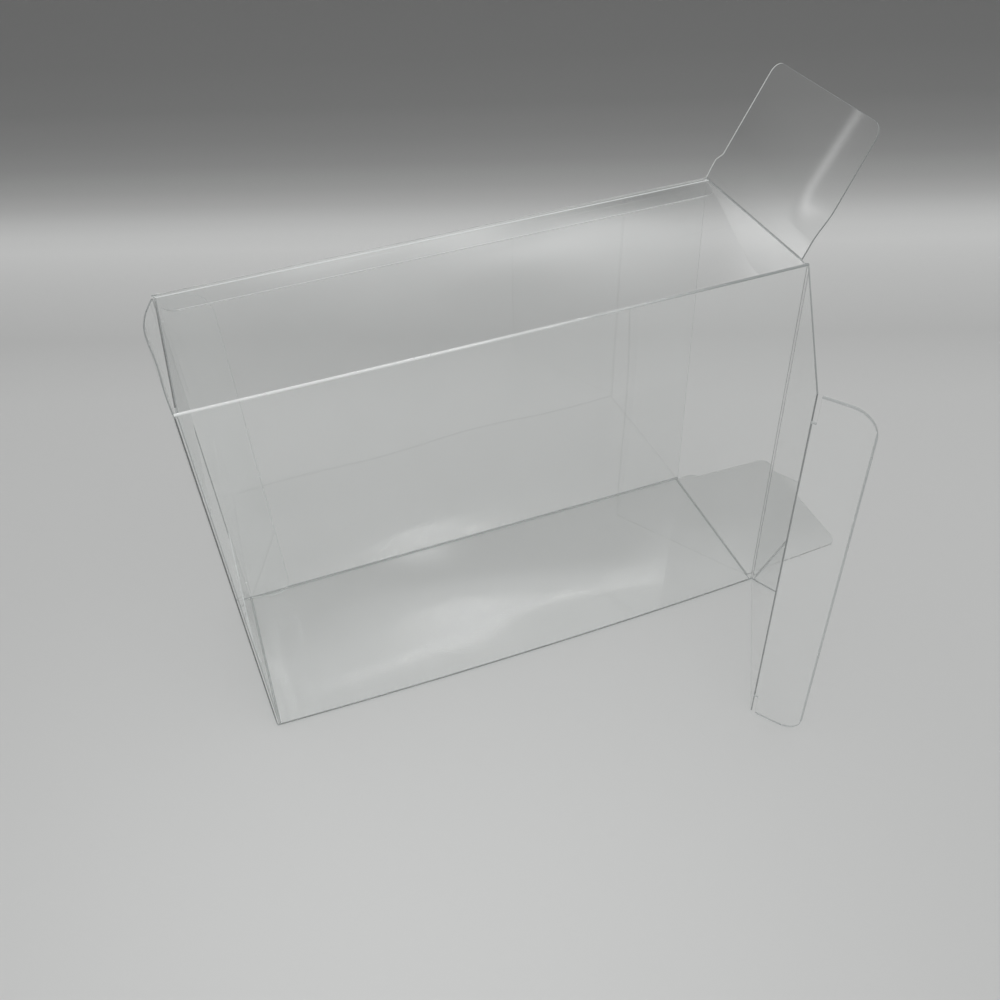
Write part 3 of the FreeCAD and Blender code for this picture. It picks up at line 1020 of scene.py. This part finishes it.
@dataclass
class TuckEnd:
    """One closure flap with its tuck tongue."""

    sizes: CartonSizes
    finishes: FilmFinishes
    side: Side
    tongue_heading: float
    tucked: bool = False
    bow: tuple[float, ...] = ()
    flap_corner: float = 0.2 * MM
    tongue_length: float = 17.5 * MM
    tongue_corner: float = 8.0 * MM
    slit_width: float = 1.4 * MM
    slit_step: float = 0.02 * MM
    slit_end: float = 10.1 * MM
    rim: float = 0.25 * MM
    # soft_rim: the wide band of the paler painted edge along the open tongue's edges.
    soft_rim: float = 0.7 * MM
    columns: int = 40
    hinge: Vector = field(init=False)
    crease: Vector = field(init=False)

    def __post_init__(self) -> None:
        """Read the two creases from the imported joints."""
        self.hinge = joint_place(f"{self.side}_closure_swing")
        self.crease = joint_place(f"{self.side}_tongue_fold")

    def build(self) -> None:
        """Make the flap and its tongue."""
        self._flap()
        self._tongue()

    def _flap(self) -> None:
        """Make the closure flap, from its hinge to the tongue's crease."""
        s = self.sizes
        chord = (self.crease - self.hinge).length
        half_height = s.height / 2 - s.flap_margin
        cut = FlapCut(s.half_film, chord - s.half_film - s.crease_touch, self.flap_corner,
                      lambda reach: (-half_height, half_height))
        flap = FlapSheet(f"{self.side}_closure_film", self.hinge, (self.crease - self.hinge) / chord,
                         Vector((0, 0, 1)), cut.rows(), self.columns,
                         lambda reach, across: self._rise(reach, chord), rim=self.rim)
        piece = flap.build()
        self.finishes.dress(piece, f"{self.side}_closure_flap")
        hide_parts(f"{self.side}_closure_flap")

    def _tongue(self) -> None:
        """Make the tuck tongue, from its crease to its free edge."""
        heading = math.radians(self.tongue_heading)
        cut = FlapCut(self.sizes.half_film, self.tongue_length, self.tongue_corner, self._tongue_sides,
                      (self.slit_width, self.slit_width + self.slit_step))
        tongue = FlapSheet(f"{self.side}_tongue_film", self.crease,
                           Vector((math.cos(heading), math.sin(heading), 0)), Vector((0, 0, 1)), cut.rows(),
                           self.columns, rim=self.rim if self.tucked else self.soft_rim)
        piece = tongue.build()
        # The tongues take a paler painted copy of the cut edge.
        edge = self.finishes.tucked_edge_painted_light if self.tucked else self.finishes.soft_edge_painted_light
        self.finishes.dress(piece, f"{self.side}_tuck_tongue", edge)
        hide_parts(f"{self.side}_tuck_tongue")

    def _rise(self, reach: float, chord: float) -> float:
        """Give the flap's bulge, a sum of sine waves over its chord."""
        return sum(size * math.sin(math.pi * (n + 1) * reach / chord) for n, size in enumerate(self.bow))

    def _tongue_sides(self, reach: float) -> Point:
        """Find the tongue's two ends, drawn in beside the lock slits.

        Args:
            reach: distance from the crease.

        Returns:
            The lower end and the upper end.
        """
        s = self.sizes
        inset = self.slit_end if reach <= self.slit_width else s.flap_margin
        return inset - s.height / 2, s.height / 2 - inset


@dataclass(frozen=True)
class FloorFinish:
    """Matt pale paper, painted with a paler band of light and with shade that darkens it far behind the
    carton.
    """

    name: str = "pale_paper"
    pale: Triple = (0.722, 0.728, 0.722)
    roughness: float = 0.9
    sheen: float = 0.1
    # Painted light and shade along the floor, as shares of the pale colour: a paler band, then painted shade
    # far behind.
    fall: tuple[Point, ...] = ((0.40, 1.0), (0.43, 0.96), (0.455, 0.915), (0.51, 1.038), (0.552, 1.17),
                               (0.572, 1.12), (0.59, 0.995), (0.61, 0.815), (0.632, 0.68), (0.67, 0.527),
                               (0.71, 0.449), (0.77, 0.386), (0.87, 0.357), (1.0, 0.351))
    # A painted pool of light: the paper is painted darker with the distance from this spot.
    painted_light_spot: Triple = (-0.08, -0.13, 0.0)
    painted_light_reach: float = 0.24
    painted_dimming: float = 0.14

    def material(self, towards: Vector, start: float) -> bpy.types.Material:
        """Build the floor's material.

        Args:
            towards: the level direction in which the painted shade darkens the paper.
            start: where distances begin along that direction.

        Returns:
            The material.
        """
        material = bpy.data.materials.new(self.name)
        material.use_nodes = True
        tree = material.node_tree
        nodes, links = tree.nodes, tree.links
        paper = nodes["Principled BSDF"]
        paper.inputs["Roughness"].default_value = self.roughness
        paper.inputs["Specular IOR Level"].default_value = self.sheen
        place = nodes.new("ShaderNodeNewGeometry").outputs["Position"]
        # The ramp paints the band of light and the shade.
        ramp = nodes.new("ShaderNodeValToRGB")
        fill_ramp(ramp, tuple((spot, tuple(c * share for c in self.pale)) for spot, share in self.fall))
        links.new(maths(tree, "SUBTRACT", dot(tree, place, towards), start), ramp.inputs["Fac"])
        # A painted pool of light: the colour is scaled down with the distance from one spot.
        away = nodes.new("ShaderNodeVectorMath")
        away.operation = "DISTANCE"
        away.inputs[1].default_value = self.painted_light_spot
        links.new(place, away.inputs[0])
        lit = smooth_step(tree, away.outputs["Value"], (0.0, self.painted_light_reach), (1.0, 1.0 - self.painted_dimming))
        tone = nodes.new("ShaderNodeVectorMath")
        tone.operation = "SCALE"
        links.new(ramp.outputs["Color"], tone.inputs[0])
        links.new(lit, tone.inputs["Scale"])
        links.new(tone.outputs["Vector"], paper.inputs["Base Color"])
        return material


@dataclass(frozen=True)
class SoftBox:
    """One soft lamp, aimed at the carton. The room's glows stand for it in reflections."""

    name: str
    place: Triple
    size: float
    power: float
    target: Triple = (0.0, 0.0, 0.0)

    def build(self) -> None:
        """Hang the lamp."""
        light = bpy.data.lights.new(self.name, "AREA")
        light.shape = "SQUARE"
        light.size = self.size
        light.energy = self.power
        lamp = bpy.data.objects.new(self.name, light)
        lamp.location = self.place
        lamp.rotation_euler = (Vector(self.target) - Vector(self.place)).to_track_quat("-Z", "Y").to_euler()
        lamp.visible_camera = lamp.visible_glossy = lamp.visible_transmission = False
        bpy.context.scene.collection.objects.link(lamp)
        LOG.info("%s hangs over the carton", self.name)


@dataclass(frozen=True)
class Glow:
    """One soft patch of the room, bright or dark: its bearing from +Y to +X, height and size in degrees."""

    bearing: float
    height: float
    wide: float
    tall: float
    strength: float
    tilt: float = 0.0

    def value(self, tree: bpy.types.NodeTree, way: bpy.types.NodeSocket) -> bpy.types.NodeSocket:
        """Add the patch's nodes.

        Args:
            tree: the room's node tree.
            way: the direction that is looked in.

        Returns:
            Its light in that direction.
        """
        bearing, height, tilt = (math.radians(v) for v in (self.bearing, self.height, self.tilt))
        level = Vector((math.cos(bearing), -math.sin(bearing), 0))
        ahead = Vector((math.sin(bearing) * math.cos(height), math.cos(bearing) * math.cos(height),
                        math.sin(height)))
        rising = level.cross(ahead)
        right = (level * math.cos(tilt) + rising * math.sin(tilt)) / math.sin(math.radians(self.wide))
        up = (rising * math.cos(tilt) - level * math.sin(tilt)) / math.sin(math.radians(self.tall))
        fade = bell(tree, dot(tree, way, right), dot(tree, way, up))
        return maths(tree, "MULTIPLY", maths(tree, "MULTIPLY", fade, self.strength),
                     maths(tree, "GREATER_THAN", dot(tree, way, ahead), 0.0))


@dataclass(frozen=True)
class Room:
    """The grey room round the carton, with what the film mirrors: a pale ceiling, darker walls and lamps."""

    plain: float = 0.5
    lean: float = 0.12
    rise: tuple[Point, ...] = ((0.0, 0.1), (0.125, 0.1), (0.165, 0.3), (0.2, 0.36), (0.49, 0.36), (0.56, 0.2),
                               (0.63, 0.12), (0.70, 0.12), (0.735, 0.2), (0.75, 0.5), (0.765, 0.75),
                               (0.785, 0.82), (1.0, 0.82))
    glows: tuple[Glow, ...] = (
        Glow(19, 28.8, 9.5, 1.6, 0.28, 7),
        Glow(20.5, 29.0, 12, 0.9, 0.36, -3),
        Glow(10, 28.2, 6, 2.0, 0.6),
        Glow(24.5, 26.3, 6, 1.2, -0.3),
        Glow(17.5, 28.9, 5, 0.7, -0.34, -9.4),
        Glow(36.8, 28.8, 2.8, 2.5, 1.5),
        Glow(9.6, 40.9, 1.9, 2.2, 1.05),
        Glow(162, 52, 24, 4.5, 2.2),
        Glow(162, 50.9, 9, 0.8, 10, 14),
        Glow(168, 49.8, 3.2, 1.0, 9),
        Glow(145, 45.6, 8, 1.7, 3.5, 20),
        Glow(8, 4, 28, 2.5, 10),
        Glow(3, 64.5, 12, 4, 10),
        Glow(-48.5, 17.5, 2.8, 6, 1.1),
        Glow(-45.3, 10.2, 3.4, 1.7, 1.3),
    )

    def build(self) -> None:
        """Make the world."""
        world = bpy.data.worlds.new("room")
        bpy.context.scene.world = world
        world.use_nodes = True
        tree = world.node_tree
        nodes, links = tree.nodes, tree.links
        way = nodes.new("ShaderNodeTexCoord").outputs["Generated"]
        split = nodes.new("ShaderNodeSeparateXYZ")
        links.new(way, split.inputs["Vector"])
        ramp = nodes.new("ShaderNodeValToRGB")
        fill_ramp(ramp, tuple((spot, (grey, grey, grey)) for spot, grey in self.rise))
        height = maths(tree, "MULTIPLY_ADD", split.outputs["X"], self.lean, split.outputs["Z"])
        links.new(height, ramp.inputs["Fac"])
        light = ramp.outputs["Color"]
        for glow in self.glows:
            light = maths(tree, "ADD", light, glow.value(tree, way))
        path = nodes.new("ShaderNodeLightPath")
        bounced = maths(tree, "GREATER_THAN", path.outputs["Glossy Depth"], 0.5)
        mix = nodes.new("ShaderNodeMixShader")
        links.new(maths(tree, "MULTIPLY", path.outputs["Is Glossy Ray"], bounced), mix.inputs["Fac"])
        seen, mirrored = nodes["Background"], nodes.new("ShaderNodeBackground")
        for slot, back in ((1, seen), (2, mirrored)):
            back.inputs["Color"].default_value = (1.0, 1.0, 1.0, 1.0)
            links.new(back.outputs["Background"], mix.inputs[slot])
        seen.inputs["Strength"].default_value = self.plain
        links.new(light, mirrored.inputs["Strength"])
        links.new(mix.outputs["Shader"], nodes["World Output"].inputs["Surface"])
        world.cycles.sampling_method = "NONE"
        LOG.info("the room has %d glows", len(self.glows))


@dataclass
class Studio:
    """Floor, light, room and camera."""

    eye: Triple = (-0.078067, -0.263557, 0.304222)
    right: Triple = (0.94182, -0.33304, -0.04537)
    up: Triple = (0.25855, 0.63161, 0.73091)
    forward: Triple = (0.21477, 0.70011, -0.68097)
    lens: float = 36.49
    sensor: float = 36.0
    clip: Point = (0.01, 50.0)
    floor_drop: float = 0.3 * MM
    floor_size: float = 12.0
    # shade_turn: the turn of the direction in which the floor's painted shade runs.
    shade_turn: float = 5.0
    bounces: int = 24
    see_through: int = 32
    mirrorings: int = 6
    lamp: SoftBox = SoftBox("over_box", (-0.02, -0.22, 0.95), 0.55, 3.1)

    def build(self) -> None:
        """Set up everything round the carton."""
        self._camera()
        self._floor()
        Room().build()
        self.lamp.build()
        scene = bpy.context.scene
        scene.view_settings.view_transform = "Standard"
        scene.cycles.max_bounces = self.bounces
        scene.cycles.transmission_bounces = self.bounces
        scene.cycles.transparent_max_bounces = self.see_through
        scene.cycles.glossy_bounces = self.mirrorings

    def _camera(self) -> None:
        """Stand the camera where the photograph was taken."""
        data = bpy.data.cameras.new("camera")
        data.lens, data.sensor_width = self.lens, self.sensor
        data.clip_start, data.clip_end = self.clip
        camera = bpy.data.objects.new("camera", data)
        columns = (Vector(self.right), Vector(self.up), -Vector(self.forward))
        turn = Matrix(columns).transposed().to_4x4()
        camera.matrix_world = Matrix.Translation(self.eye) @ turn
        bpy.context.scene.collection.objects.link(camera)
        bpy.context.scene.camera = camera

    def _floor(self) -> None:
        """Lay the paper just under the carton."""
        half = self.floor_size / 2
        mesh = bpy.data.meshes.new("floor")
        square = ((-half, -half), (half, -half), (half, half), (-half, half))
        mesh.from_pydata([(x, y, -self.floor_drop) for x, y in square], [], [(0, 1, 2, 3)])
        floor = bpy.data.objects.new("floor", mesh)
        bpy.context.scene.collection.objects.link(floor)
        level = Vector((self.forward[0], self.forward[1], 0)).normalized()
        shaded = Matrix.Rotation(-math.radians(self.shade_turn), 3, "Z") @ level
        mesh.materials.append(FloorFinish().material(shaded, Vector(self.eye).dot(shaded)))


def main() -> None:
    """Build the carton and its studio."""
    logging.basicConfig(level=logging.INFO, format="%(name)s: %(message)s")
    sizes = CartonSizes.from_frame()
    finishes = FilmFinishes()
    Studio().build()
    Sleeve(sizes, finishes).build()
    DustFlaps(sizes, finishes).build()
    TuckEnd(sizes, finishes, Side.RIGHT, SHUT_HEADING - RIGHT_OPEN + RIGHT_TONGUE_FOLD).build()
    TuckEnd(sizes, finishes, Side.LEFT, SHUT_HEADING - LEFT_TONGUE_FOLD, True, LEFT_BULGE).build()


if __name__ == "__main__":
    main()
